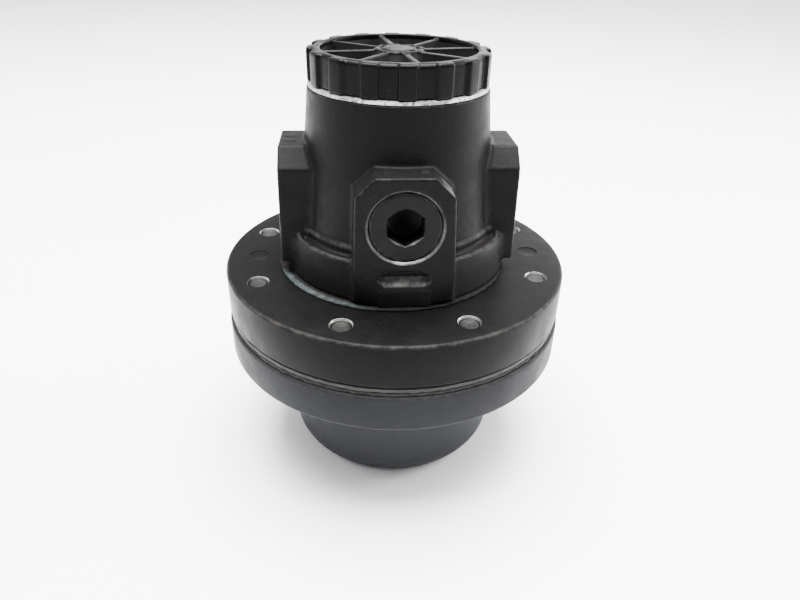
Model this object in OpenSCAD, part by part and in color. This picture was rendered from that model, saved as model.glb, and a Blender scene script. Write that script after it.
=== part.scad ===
// Large-diaphragm pneumatic pressure regulator, standing on its bonnet.
// Millimetres. +Z up, origin at the centre of the flat end of the bonnet.
// The inlet faces -X, the outlet +X, and the two plugged gauge ports face -Y and +Y.

/* [Flanges] */
// Outer radius of the upper flange
flange_r = 55.2; // [53:0.5:58]
// Thickness of the upper flange
flange_t = 14; // [13:0.5:16]
// Outer radius of the bonnet's clamping flange
bonnet_flange_r = 55.6; // [54:0.2:58]
// Thickness of the bonnet's clamping flange
bonnet_flange_t = 12.1; // [10.5:0.1:13]
// Radius of the circle of clamping screws
screw_pcr = 47; // [46.5:0.5:48]
// Number of clamping screws
screw_n = 8; // [4:1:12]
// Thread radius of a clamping screw
screw_r = 2.95; // [2.4:0.05:3.4]

/* [Bonnet] */
// Radius of the bonnet dome
bonnet_r = 35.5; // [35:0.5:38]
// Height of the dome below its flange
bonnet_h = 39.4; // [38:0.2:46]
// Radius of the dome's rounded edge
bonnet_corner = 8.8; // [4:0.2:9]
// Radius of the recess around the adjusting screw
recess_r = 12.5; // [12:0.5:14]
// Radius of the adjusting screw
adjust_r = 4.95; // [4:0.05:5]

/* [Diaphragm] */
// Thickness of the fibre gasket between flange and diaphragm
flange_gasket_t = 1.1; // [0.8:0.1:1.4]
// Thickness of the diaphragm
diaphragm_t = 1.8; // [1.4:0.1:2.2]
// Radius of the disc that the plates clamp
plate_r = 31; // [28:0.5:32]

/* [Body] */
// Radius of the skirt that sits on the flange
skirt_r = 35.8; // [35:0.1:36]
// Height of the skirt
skirt_h = 13.5; // [12.5:0.1:14.5]
// Radius of the tapered tube at its foot
tube_r1 = 30.4; // [29.5:0.1:31]
// Radius of the tapered tube at its rim
tube_r2 = 26.7; // [26:0.1:27]
// Height of the tube's rim above the flange
tube_h = 55.4; // [55:0.2:58]
// Thickness of the gasket under the skirt
body_gasket_t = 0.8; // [0.5:0.1:1.2]

/* [Ports] */
// Distance of each port face from the axis
port_face = 36.25; // [35.5:0.05:37]
// Height of the port centres above the flange
port_h = 25.3; // [25:0.1:26]
// Half the width of a port boss at its top
boss_w = 13.2; // [12.5:0.1:14]
// Height of a port boss above the flange
boss_h = 39.4; // [38.5:0.1:40]
// Tapping radius of the inlet and outlet threads
port_r = 9.32; // [8.9:0.02:9.5]
// Radius of the plugged gauge ports
gauge_r = 9.95; // [9.4:0.05:10]

/* [Bottom plug] */
// Radius over the grip lobes
cap_r = 26.1; // [25.8:0.1:26.6]
// Height of the ribbed head
cap_h = 9; // [8:0.5:11]
// Number of spokes
spoke_n = 8; // [6:1:12]
// Number of grip lobes
lobe_n = 16; // [12:1:24]

/* [Valve] */
// Radius of the orifice
orifice_r = 8; // [6:0.5:9]
// Radius of the valve stem
stem_r = 2; // [1.5:0.1:2.4]

/* [Hidden] */
$fn = 96;
e = 0.01;

z1 = bonnet_h;                     // underside of the bonnet flange
z2 = z1 + bonnet_flange_t;         // top of the bonnet flange
z3 = z2 + flange_gasket_t;         // top of the fibre gasket
z4 = z3 + diaphragm_t;             // underside of the upper flange
z5 = z4 + flange_t;                // top of the upper flange
z6 = z5 + body_gasket_t;           // underside of the body
zs = z5 + skirt_h;                 // top of the skirt
zr = z5 + tube_h;                  // rim of the tube
zp = z5 + port_h;                  // port centres
zt = z5 + boss_h;                  // top of the bosses
zc = zr + 1.2;                     // underside of the ribbed head
cap_top = zc + cap_h;
cap_spoke_a = 9;                   // turn of the spokes as tightened
plate_top = z4 + 2;                // top of the upper diaphragm plate
bolt_top = z4 + 6.2;               // where the stem rests on the diaphragm bolt
seat_z = z5 + 28.6;                // lip of the valve seat

function arc(cx, cy, r, a0, a1, n = 8) = [for (i = [0:n]) let (a = a0 + (a1 - a0) * i / n) [cx + r * cos(a), cy + r * sin(a)]];

// a ring of rectangular section
module ring(ri, ro, z, h) {
    translate([0, 0, z]) rotate_extrude() polygon([[ri, 0], [ro, 0], [ro, h], [ri, h]]);
}

// a toroidal seal
module o_ring(rm, rc, z) {
    translate([0, 0, z]) rotate_extrude() translate([rm, 0]) circle(r = rc, $fn = 24);
}

// a hexagonal prism given its width across flats, corners on +-Y
module hex(af, h) {
    rotate([0, 0, 30]) cylinder(r = af / sqrt(3), h = h, $fn = 6);
}

// points at the clamping screws
module at_screws() {
    for (i = [0:screw_n - 1]) rotate([0, 0, 22.5 + i * 360 / screw_n]) translate([screw_pcr, 0, 0]) children();
}

// points at the body screws
module at_body_screws() {
    for (i = [0:3]) rotate([0, 0, 45 + 90 * i]) translate([28.5, 0, 0]) children();
}

// helical compression spring with closed ends, swept with eight-sided wire
module coil(rm, rw, z0, z1, turns, seg = 20) {
    n = round((turns + 2) * seg);
    lo = z0 + rw;
    hi = z1 - rw;
    pitch_z = function(t) t < 1 ? lo + t * 2.05 * rw : t > turns + 1 ? hi - (turns + 2 - t) * 2.05 * rw
        : lo + 2.05 * rw + (t - 1) / turns * (hi - lo - 4.1 * rw);
    pts = [for (i = [0:n]) let (t = i * (turns + 2) / n, a = 360 * t) for (k = [0:7]) let (b = 45 * k + 22.5)
        [(rm + rw * cos(b)) * cos(a), (rm + rw * cos(b)) * sin(a), pitch_z(t) + rw * sin(b)]];
    faces = concat([[7, 6, 5, 4, 3, 2, 1, 0]], [[for (k = [0:7]) n * 8 + k]],
        [for (i = [0:n - 1]) for (k = [0:7]) [i * 8 + k, i * 8 + (k + 1) % 8, (i + 1) * 8 + (k + 1) % 8]],
        [for (i = [0:n - 1]) for (k = [0:7]) [i * 8 + k, (i + 1) * 8 + (k + 1) % 8, (i + 1) * 8 + k]]);
    polyhedron(points = pts, faces = faces, convexity = 8);
}

// outline of a port boss seen from outside: chamfered top corners and slightly splayed sides
function boss_outline(zb) = [[-boss_w - 1.6, zb], [boss_w + 1.6, zb], [boss_w, zt - 5.3], [boss_w - 5.35, zt],
    [5.35 - boss_w, zt], [-boss_w, zt - 5.3]];

module boss(a, zb) {
    rotate([0, 0, a]) {
        translate([0, -14, 0]) rotate([90, 0, 0]) linear_extrude(port_face - 14 - 0.5) polygon(boss_outline(zb));
        // bevelled front edge
        translate([0, -port_face + 0.5 + e, 0]) rotate([90, 0, 0]) linear_extrude(0.5) offset(delta = -0.35) polygon(boss_outline(zb));
    }
}

// threaded port with a chamfered mouth, drilled towards the axis
module port(a, r, depth, mouth) {
    rotate([0, 0, a]) translate([0, -port_face, zp]) rotate([-90, 0, 0]) {
        translate([0, 0, -1]) cylinder(r = r, h = depth + 1);
        translate([0, 0, -e]) cylinder(r1 = mouth, r2 = r, h = mouth - r);
    }
}

module body() {
    color([0.07, 0.065, 0.06]) difference() {
        union() {
            // skirt and tapered tube
            rotate_extrude() polygon(concat([[0, z6], [skirt_r - 0.4, z6], [skirt_r, z6 + 0.6], [skirt_r - 0.9, zs - 1]],
                arc(skirt_r - 1.9, zs - 1, 1, 5, 130, 8),
                arc(tube_r1 + 1.8, zs + 0.7, 1.45, 295, 195, 8),
                arc(tube_r1 - 0.35, zs + 1.55, 0.95, 0, 60, 5),
                [[tube_r1 - 0.15, zs + 3.2], [tube_r2 + 0.25, zr - 1.2], [tube_r2, zr - 0.5], [tube_r2, zr], [0, zr]]));
            // front and rear bosses, whose lower corners run out into the round base
            for (a = [0, 180]) intersection() {
                boss(a, z6);
                translate([0, 0, z6 - 1]) cylinder(r1 = 36.75 - 0.26, r2 = 36.75 + 0.26 * 40, h = 41);
            }
            for (a = [90, 270]) boss(a, z5 + 5);
            // raised ends of the skirt lip beside the inlet and outlet bosses
            for (sx = [-1, 1], sy = [-1, 1]) rotate([0, 0, sx > 0 ? sy * 25.5 : 180 + sy * 25.5])
                translate([skirt_r - 3.4, -1.4, zs - 5]) cube([2.2, 2.8, 5.5]);
            // pad under the front and rear ports
            for (a = [0, 180]) rotate([0, 0, a]) translate([0, -port_face + 1, 0]) rotate([90, 0, 0])
                linear_extrude(1.55) polygon([[-7.6, z6 + 0.3], [7.6, z6 + 0.3], [7.9, z5 + 6.4], [-7.9, z5 + 6.4]]);
            // generic raised marks on the boss tops
            for (x = [-4.6, 5]) translate([x - 1.2, -port_face + 4.6, zt - e]) cube([2.4, 2.2, 0.3]);
            for (sy = [-1, 1]) translate([-port_face + 2.4, sy * 2.2 - 0.6, zt - e]) cube([3.2, 1.2, 0.35]);
        }
        // outlet chamber, open to the flange
        translate([0, 0, z6 - 1]) cylinder(r = 21, h = z5 + 13.6 - z6 + 1);
        translate([0, 0, z5 + 10]) cylinder(r = 12, h = 14);
        // seat bore
        translate([0, 0, z5 + 20]) cylinder(r = 13, h = 20);
        // inlet chamber and plug thread
        translate([0, 0, z5 + 32.6]) cylinder(r = 20.5, h = 30);
        translate([0, 0, z5 + 41.6]) cylinder(r = 22.9, h = 30);
        translate([0, 0, zr - 0.8]) cylinder(r1 = 22.9, r2 = 23.7 + e, h = 0.8 + e);
        // inlet, outlet and gauge ports
        port(270, port_r, 15, 11.15);
        port(90, port_r, 15, 11.15);
        port(0, gauge_r, 13, 11.35);
        port(180, gauge_r, 13, 11.35);
        for (sx = [-1, 1]) translate([sx * 16.5, 0, zp]) rotate([0, sx * 90, 0]) cylinder(r = 5.5, h = 6);
        translate([-18.6, 0, zp]) cylinder(r = 4, h = 10);
        translate([18.6, 0, z5 + 10]) cylinder(r = 4, h = port_h - 10);
        // gauge passages into the outlet side, just under the seat
        for (sy = [-1, 1]) translate([0, sy * 10, z5 + 22]) rotate([-sy * 90, 0, 0]) cylinder(r = 1.6, h = 14);
        // tapped holes for the body screws
        at_body_screws() translate([0, 0, z6 - 1]) cylinder(r = 2.5, h = 9.6);
        // cast recess under the front and rear ports
        for (a = [0, 180]) rotate([0, 0, a]) translate([0, -port_face, 0]) {
            hull() {
                translate([0, -0.6, 0]) rotate([90, 0, 0]) linear_extrude(0.1)
                    polygon([[-7.5, z5 + 9.6], [-6.5, z5 + 7.2], [6.5, z5 + 7.2], [7.5, z5 + 9.6], [7.2, z5 + 10.4], [5.2, z5 + 12.3], [-5.2, z5 + 12.3], [-7.2, z5 + 10.4]]);
                translate([0, 2.4, 0]) rotate([90, 0, 0]) linear_extrude(0.1)
                    polygon([[-6.2, z5 + 10.2], [6.2, z5 + 10.2], [5.8, z5 + 10.9], [4.7, z5 + 11.9], [-4.7, z5 + 11.9], [-5.8, z5 + 10.9]]);
            }
        }
    }
}

module body_gasket() {
    color([0.3, 0.36, 0.38]) difference() {
        // cut a little off centre
        difference() {
            translate([-0.9, -0.25, z5]) cylinder(r = 37.4, h = body_gasket_t);
            translate([0, 0, z5 - 1]) cylinder(r = 21, h = body_gasket_t + 2);
        }
        at_body_screws() translate([0, 0, z5 - 1]) cylinder(r = 2.8, h = 4);
    }
}

module upper_flange() {
    color([0.09, 0.09, 0.09]) difference() {
        rotate_extrude() polygon(concat([[0, z4], [flange_r - 1.1, z4], [flange_r, z4 + 0.9]],
            arc(flange_r - 0.9, z5 - 0.9, 0.9, 0, 90, 6), [[0, z5]]));
        // diaphragm chamber
        translate([0, 0, z4 - 1]) cylinder(r = 42, h = 6);
        translate([0, 0, z4]) cylinder(r = 9.5, h = 9.6);
        // stem bush bore and the holes that pass outlet pressure to the diaphragm
        translate([0, 0, z4]) cylinder(r = 6, h = 30);
        for (i = [0:3]) rotate([0, 0, 90 * i]) translate([15, 0, z4]) cylinder(r = 3.5, h = 30);
        // clamping screw threads, open at the top with a shallow countersink
        at_screws() {
            translate([0, 0, z4 - 1]) cylinder(r = screw_r + 0.05, h = 30);
            translate([0, 0, z5 - 0.55]) cylinder(r1 = screw_r + 0.05, r2 = screw_r + 0.6, h = 0.55 + e);
        }
        // body screws with their counterbores
        at_body_screws() {
            translate([0, 0, z4]) cylinder(r = 2.8, h = 30);
            translate([0, 0, z4]) cylinder(r = 4.7, h = 9.4);
        }
        // filled casting vents beside the screws
        for (a = [0, 77.5, 180, 257.5]) rotate([0, 0, a]) translate([45, 0, z5 - 0.22]) difference() {
            cylinder(r = 3.5, h = 1);
            translate([0, 0, -1]) cylinder(r = 3.1, h = 3);
        }
    }
}

module body_screws() {
    color([0.3, 0.3, 0.31]) at_body_screws() difference() {
        union() {
            translate([0, 0, z4 + 5]) cylinder(r = 4.25, h = 4.4);
            translate([0, 0, z4 + 9.2]) cylinder(r = 2.45, h = z5 + 8 - z4 - 9.2);
        }
        translate([0, 0, z4 + 4]) hex(4, 3.4);
    }
}

module bonnet() {
    color([0.1, 0.105, 0.11]) difference() {
        rotate_extrude() polygon(concat([[0, 0], [bonnet_r - bonnet_corner, 0]],
            arc(bonnet_r - bonnet_corner, bonnet_corner, bonnet_corner, 270, 360, 12),
            [[bonnet_r, z1 - 1.5], [bonnet_r + 1.2, z1], [bonnet_flange_r - 1.6, z1], [bonnet_flange_r - 0.5, z1 + 1.1], [bonnet_flange_r, z2 - 1],
             [bonnet_flange_r - 0.8, z2], [0, z2]]));
        // spring chamber, opening out under the diaphragm
        difference() {
            rotate_extrude() polygon([[0, 6], [25, 6], [31.5, 11.5], [31.5, z1 + 2], [42, z1 + 6], [42, z2 + 1], [0, z2 + 1]]);
            translate([0, 0, 5]) cylinder(r = 16.5, h = 15);
        }
        // recess and thread for the adjusting screw
        translate([0, 0, -1]) cylinder(r = recess_r, h = 13);
        translate([0, 0, 11]) cylinder(r = adjust_r + 0.1, h = 20);
        translate([0, 0, -e]) cylinder(r1 = recess_r + 0.8, r2 = recess_r, h = 0.8);
        // clamping screw holes with counterbores
        at_screws() {
            translate([0, 0, z1 - 1]) cylinder(r = 3.3, h = 20);
            translate([0, 0, z1 - 1]) cylinder(r = 5.5, h = 7.4);
        }
        // breather hole in the dome
        translate([0, 0, 28]) rotate([0, 0, 135]) rotate([0, 90, 0]) cylinder(r = 1.5, h = 60);
    }
}

module flange_screws() {
    color([0.62, 0.62, 0.6]) at_screws() difference() {
        union() {
            translate([0, 0, z1 + 0.4]) cylinder(r = 5, h = 6);
            translate([0, 0, z1 + 6.3]) cylinder(r = screw_r, h = z5 - 1.2 - z1 - 6.3);
            translate([0, 0, z5 - 1.2 - e]) cylinder(r1 = screw_r, r2 = screw_r - 0.6, h = 0.8);
        }
        translate([0, 0, z1 - 0.6]) hex(5, 4);
        // dimple in the screw's end
        translate([0, 0, z5 - 0.65]) cylinder(r1 = 0.6, r2 = 1.6, h = 0.4);
    }
}

module flange_gasket() {
    color([0.2, 0.2, 0.19]) difference() {
        ring(42.2, flange_r - 0.7, z2, flange_gasket_t);
        at_screws() translate([0, 0, z2 - 1]) cylinder(r = 3.3, h = 5);
    }
}

module diaphragm() {
    color([0.05, 0.05, 0.05]) difference() {
        // flat clamped rim, rolled convolution and flat centre
        rotate_extrude() polygon(concat([[5, z3], [33.4, z3], [33.9, z3 - 2]], arc(37.4, z3 - 2, 3.5, 180, 360, 10), [[41.4, z3], [flange_r - 0.4, z3], [flange_r - 0.4, z4]],
            [[39.3, z4], [39.3, z3 - 2]], arc(37.4, z3 - 2, 1.9, 360, 180, 10), [[35.5, z4], [5, z4]]));
        at_screws() translate([0, 0, z3 - 1]) cylinder(r = 3.3, h = 5);
    }
}

module upper_plate() {
    color([0.7, 0.7, 0.72]) difference() {
        rotate_extrude() polygon(concat([[5, z4], [plate_r + 1.2, z4]], arc(plate_r + 0.7, z4 + 1.5, 1.5, 290, 360, 5), [[plate_r + 2.2, plate_top], [5, plate_top]]));
        for (i = [0:5]) rotate([0, 0, 30 + 60 * i]) translate([22, 0, z4 + 1.2]) cylinder(r = 2, h = 5);
    }
}

module lower_plate() {
    // dished plate that seats the range spring
    color([0.7, 0.7, 0.72]) rotate_extrude() polygon([[5, z3 - 2], [23.2, z3 - 2], [23.8, z3 - 3.6], [25.6, z3 - 3.6], [26.2, z3 - 2], [plate_r, z3 - 1.8], [plate_r + 0.8, z3 - 0.9], [plate_r + 0.8, z3], [5, z3]]);
}

module diaphragm_bolt() {
    color([0.78, 0.62, 0.3]) difference() {
        union() {
            translate([0, 0, plate_top]) hex(14, 2.4);
            translate([0, 0, plate_top + 2.4 - e]) cylinder(r1 = 5.5, r2 = 4, h = bolt_top - plate_top - 2.4 + e);
            translate([0, 0, z3 - 10]) cylinder(r = 4.9, h = plate_top - z3 + 10 + e);
        }
        // relief passage
        translate([0, 0, z3 - 12]) cylinder(r = 1.5, h = bolt_top - z3 + 11.2);
        translate([0, 0, bolt_top - 3]) cylinder(r = 1.2, h = 5);
    }
}

module diaphragm_nut() {
    color([0.62, 0.62, 0.6]) difference() {
        union() {
            translate([0, 0, z3 - 8.2]) hex(16, 5);
            translate([0, 0, z3 - 3.4]) cylinder(r = 9.5, h = 1.4);
        }
        translate([0, 0, z3 - 12]) cylinder(r = 4.95, h = 20);
    }
}

module range_spring() {
    color([0.45, 0.46, 0.48]) coil(20.4, 1.6, 28, z3 - 2, 3);
}

module spring_button() {
    color([0.55, 0.55, 0.53]) difference() {
        rotate_extrude() polygon([[0, 24], [9, 24], [24, 25.4], [24, 28], [18, 28], [16.5, 31], [0, 31]]);
        translate([0, 0, 26]) cylinder(r = 12, h = 8);
        translate([0, 0, 23.9]) cylinder(r1 = 4, r2 = 1.5, h = 1.1);
    }
}

module adjusting_screw() {
    color([0.3, 0.3, 0.31]) difference() {
        union() {
            translate([0, 0, 6.2]) cylinder(r1 = adjust_r - 0.6, r2 = adjust_r, h = 0.6);
            translate([0, 0, 6.8 - e]) cylinder(r = adjust_r, h = 15.4);
            translate([0, 0, 22.2 - 2 * e]) cylinder(r1 = adjust_r, r2 = 3, h = 1.7);
            translate([0, 0, 23.9 - 3 * e]) cylinder(r1 = 3, r2 = 1.2, h = 0.9);
        }
        translate([0, 0, 5]) hex(5, 6.2);
    }
}

module lock_nut() {
    color([0.62, 0.62, 0.6]) difference() {
        translate([0, 0, 7.2]) intersection() {
            hex(16, 4.8);
            rotate_extrude() polygon([[0, 0], [8.2, 0], [9.3, 0.8], [9.3, 4.8], [0, 4.8]]);
        }
        translate([0, 0, 6]) cylinder(r = adjust_r + 0.1, h = 8);
    }
}

module stem_bush() {
    color([0.7, 0.5, 0.28]) difference() {
        union() {
            translate([0, 0, z4 + 9.6]) cylinder(r = 6, h = 8.4);
            translate([0, 0, z5 + 0.2]) cylinder(r = 7.5, h = 1.6);
        }
        translate([0, 0, z4]) cylinder(r = stem_r + 0.06, h = 40);
    }
}

module valve_stem() {
    color([0.62, 0.62, 0.6]) {
        translate([0, 0, bolt_top + 0.15]) cylinder(r1 = 1.5, r2 = stem_r, h = 0.5);
        translate([0, 0, bolt_top + 0.65 - e]) cylinder(r = stem_r, h = seat_z - 3 - bolt_top - 0.65 + e);
    }
}

module valve_seat() {
    color([0.78, 0.62, 0.3]) difference() {
        rotate_extrude() polygon([[orifice_r, z5 + 24], [12.95, z5 + 24], [12.95, z5 + 25.2], [11.6, z5 + 25.2], [11.6, z5 + 26.9], [12.95, z5 + 26.9],
            [12.95, z5 + 27.6], [orifice_r + 1.2, z5 + 27.6], [orifice_r + 0.7, seat_z], [orifice_r + 0.2, seat_z], [orifice_r, seat_z - 0.4]]);
    }
}

module seat_o_ring() {
    color([0.05, 0.05, 0.05]) o_ring(12.28, 0.66, z5 + 26.05);
}

module valve_poppet() {
    color([0.78, 0.62, 0.3]) {
        // boss that the stem pushes, head, and rear spindle
        translate([0, 0, seat_z - 3]) cylinder(r = 3, h = 5.8);
        rotate_extrude() polygon([[0, seat_z + 2.7], [11.2, seat_z + 2.7], [11.2, seat_z + 5.6], [5.4, seat_z + 5.6], [5.2, seat_z + 7.4], [4, seat_z + 7.8], [4, seat_z + 18], [3.4, seat_z + 18.6], [0, seat_z + 18.6]]);
    }
}

module valve_seal() {
    color([0.12, 0.12, 0.12]) ring(3.02, 10.8, seat_z + 0.1, 2.6);
}

module valve_spring() {
    color([0.62, 0.63, 0.65]) coil(8.2, 0.8, seat_z + 5.62, seat_z + 18.2, 4, 16);
}

module valve_guide() {
    // bush pressed into the bottom plug: guides the spindle and seats the valve spring
    color([0.75, 0.75, 0.72]) difference() {
        union() {
            translate([0, 0, seat_z + 14]) cylinder(r = 6.4, h = 4.22);
            translate([0, 0, seat_z + 18.2]) cylinder(r = 10, h = 1.6);
            translate([0, 0, seat_z + 19.8 - e]) cylinder(r = 7, h = 6.7);
        }
        translate([0, 0, seat_z + 12]) cylinder(r = 4.06, h = 11);
        translate([0, 0, seat_z + 15.2]) cylinder(r = 5.3, h = 1.8);
    }
}

module guide_o_ring() {
    color([0.05, 0.05, 0.05]) o_ring(4.72, 0.56, seat_z + 16.1);
}

// fluted outline of the plug's grip
module lobes(r) {
    union() {
        circle(r = r - 1.1);
        intersection() {
            circle(r = r);
            for (i = [0:lobe_n - 1]) rotate([0, 0, i * 360 / lobe_n])
                polygon([[0, 0], [r * cos(7.4), -r * sin(7.4)], [r + 1, 0], [r * cos(7.4), r * sin(7.4)]]);
        }
    }
}

module bottom_plug() {
    color([0.05, 0.05, 0.05]) rotate([0, 0, 1]) difference() {
        union() {
            translate([0, 0, zc]) cylinder(r1 = cap_r - 1.6, r2 = cap_r - 1.1, h = 0.5);
            translate([0, 0, zc + 0.4]) linear_extrude(cap_h - 1.3) lobes(cap_r);
            translate([0, 0, cap_top - 0.9 - e]) cylinder(r1 = cap_r - 1.1, r2 = cap_r - 1.7, h = 0.9);
            // thread and hollow shank
            translate([0, 0, zr - 12]) cylinder(r = 22.82, h = 13.6);
        }
        // deep pockets between the spokes
        translate([0, 0, zc + 2.4]) difference() {
            cylinder(r1 = 21.6, r2 = 22.4, h = 20);
            translate([0, 0, -1]) cylinder(r = 6.7, h = cap_h - 2.1);
            for (i = [0:spoke_n - 1]) rotate([0, 0, cap_spoke_a + i * 360 / spoke_n])
                translate([0, -0.8, -1]) cube([30, 1.6, cap_h - 1.9]);
        }
        translate([0, 0, cap_top - 1.1]) difference() {
            cylinder(r = 6, h = 4);
            translate([0, 0, -1]) cylinder(r = 4.9, h = 1.5);
        }
        // shank hollow, guide bore and seal groove
        translate([0, 0, zr - 13]) cylinder(r = 18.5, h = 11);
        translate([0, 0, zr - 3]) cylinder(r = 7, h = 2.8);
        translate([0, 0, zr - 10.5]) difference() {
            cylinder(r = 30, h = 2.4);
            translate([0, 0, -1]) cylinder(r = 20.9, h = 5);
        }
    }
}

module plug_o_ring() {
    color([0.05, 0.05, 0.05]) o_ring(21.88, 0.94, zr - 9.3);
}

module plug_seal_ring() {
    color([0.78, 0.78, 0.78]) rotate_extrude() polygon([[22.95, zr + e], [tube_r2 - 0.1, zr + e], [tube_r2, zr + 0.3], [tube_r2 - 0.1, zr + 0.9], [tube_r2 - 0.5, zr + 1.15], [22.95, zr + 1.15]]);
}

// hexagon-socket pipe plug, head outwards
module port_plug() {
    translate([0, -port_face + 0.45, zp]) rotate([-90, 0, 0]) difference() {
        union() {
            cylinder(r1 = gauge_r - 0.4, r2 = gauge_r - 0.05, h = 0.35);
            translate([0, 0, 0.35 - e]) cylinder(r = gauge_r - 0.05, h = 9.45);
            translate([0, 0, 9.8 - 2 * e]) cylinder(r1 = gauge_r - 0.05, r2 = gauge_r - 1, h = 1);
        }
        translate([0, 0, -1]) hex(10, 7.2);
        translate([0, 0, -e]) cylinder(r1 = 5.9, r2 = 5, h = 0.9);
        translate([0, 0, 6.1]) cylinder(r1 = 4.8, r2 = 0.8, h = 1.6);
    }
}

module front_port_plug() { color([0.1, 0.1, 0.1]) port_plug(); }
module rear_port_plug() { color([0.1, 0.1, 0.1]) rotate([0, 0, 180]) port_plug(); }

body();
body_gasket();
upper_flange();
body_screws();
bonnet();
flange_screws();
flange_gasket();
diaphragm();
upper_plate();
lower_plate();
diaphragm_bolt();
diaphragm_nut();
range_spring();
spring_button();
adjusting_screw();
lock_nut();
stem_bush();
valve_stem();
valve_seat();
seat_o_ring();
valve_poppet();
valve_seal();
valve_spring();
valve_guide();
guide_o_ring();
bottom_plug();
plug_o_ring();
plug_seal_ring();
front_port_plug();
rear_port_plug();
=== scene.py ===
import bpy, bmesh, math
import numpy as np
from mathutils import Vector, Matrix


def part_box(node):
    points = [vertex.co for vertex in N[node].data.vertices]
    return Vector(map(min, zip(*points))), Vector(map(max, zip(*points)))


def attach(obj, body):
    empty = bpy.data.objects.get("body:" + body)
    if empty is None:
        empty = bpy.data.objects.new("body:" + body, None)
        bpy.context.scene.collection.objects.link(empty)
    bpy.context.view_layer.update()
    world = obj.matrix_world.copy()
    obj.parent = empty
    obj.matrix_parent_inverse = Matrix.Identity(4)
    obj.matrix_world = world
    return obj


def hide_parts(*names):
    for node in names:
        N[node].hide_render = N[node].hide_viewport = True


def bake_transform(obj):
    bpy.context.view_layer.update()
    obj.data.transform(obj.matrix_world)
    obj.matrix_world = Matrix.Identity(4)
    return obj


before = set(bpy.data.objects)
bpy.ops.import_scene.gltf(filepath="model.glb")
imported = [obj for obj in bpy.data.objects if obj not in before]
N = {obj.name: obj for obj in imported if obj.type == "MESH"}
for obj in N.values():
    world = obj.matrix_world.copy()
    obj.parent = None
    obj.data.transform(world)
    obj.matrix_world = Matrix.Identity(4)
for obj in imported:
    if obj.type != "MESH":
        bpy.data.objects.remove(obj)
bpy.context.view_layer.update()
MM = 0.001

# ---- main levels, in mm, from the CAD boxes ----
def lo(n, k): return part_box(n)[0][k] * 1000
def hi(n, k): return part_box(n)[1][k] * 1000
z1 = 39.4
z2 = lo("flange_gasket", 2)
z3 = hi("flange_gasket", 2)
z4 = lo("upper_flange", 2)
z5 = hi("upper_flange", 2)
z6 = hi("body_gasket", 2)
zr = hi("body", 2)
zs = z5 + 13.5
zp = z5 + 25.3
zt = z5 + 39.4
zc = zr + 1.2
cap_top = hi("bottom_plug", 2)
seat = z5 + 28.6
FACE = hi("body", 0)
FR = hi("upper_flange", 0)
BR = hi("bonnet", 0)

# ======================================================================
# meshes from distance fields: blocks near the surface only, surface nets,
# then each vertex is pulled onto the exact surface
# ======================================================================
def smax(a, b, k):
    h = np.clip(0.5 + 0.5 * (a - b) / k, 0, 1)
    return b + (a - b) * h + k * h * (1 - h)

def smin(a, b, k):
    return -smax(-a, -b, k)

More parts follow.
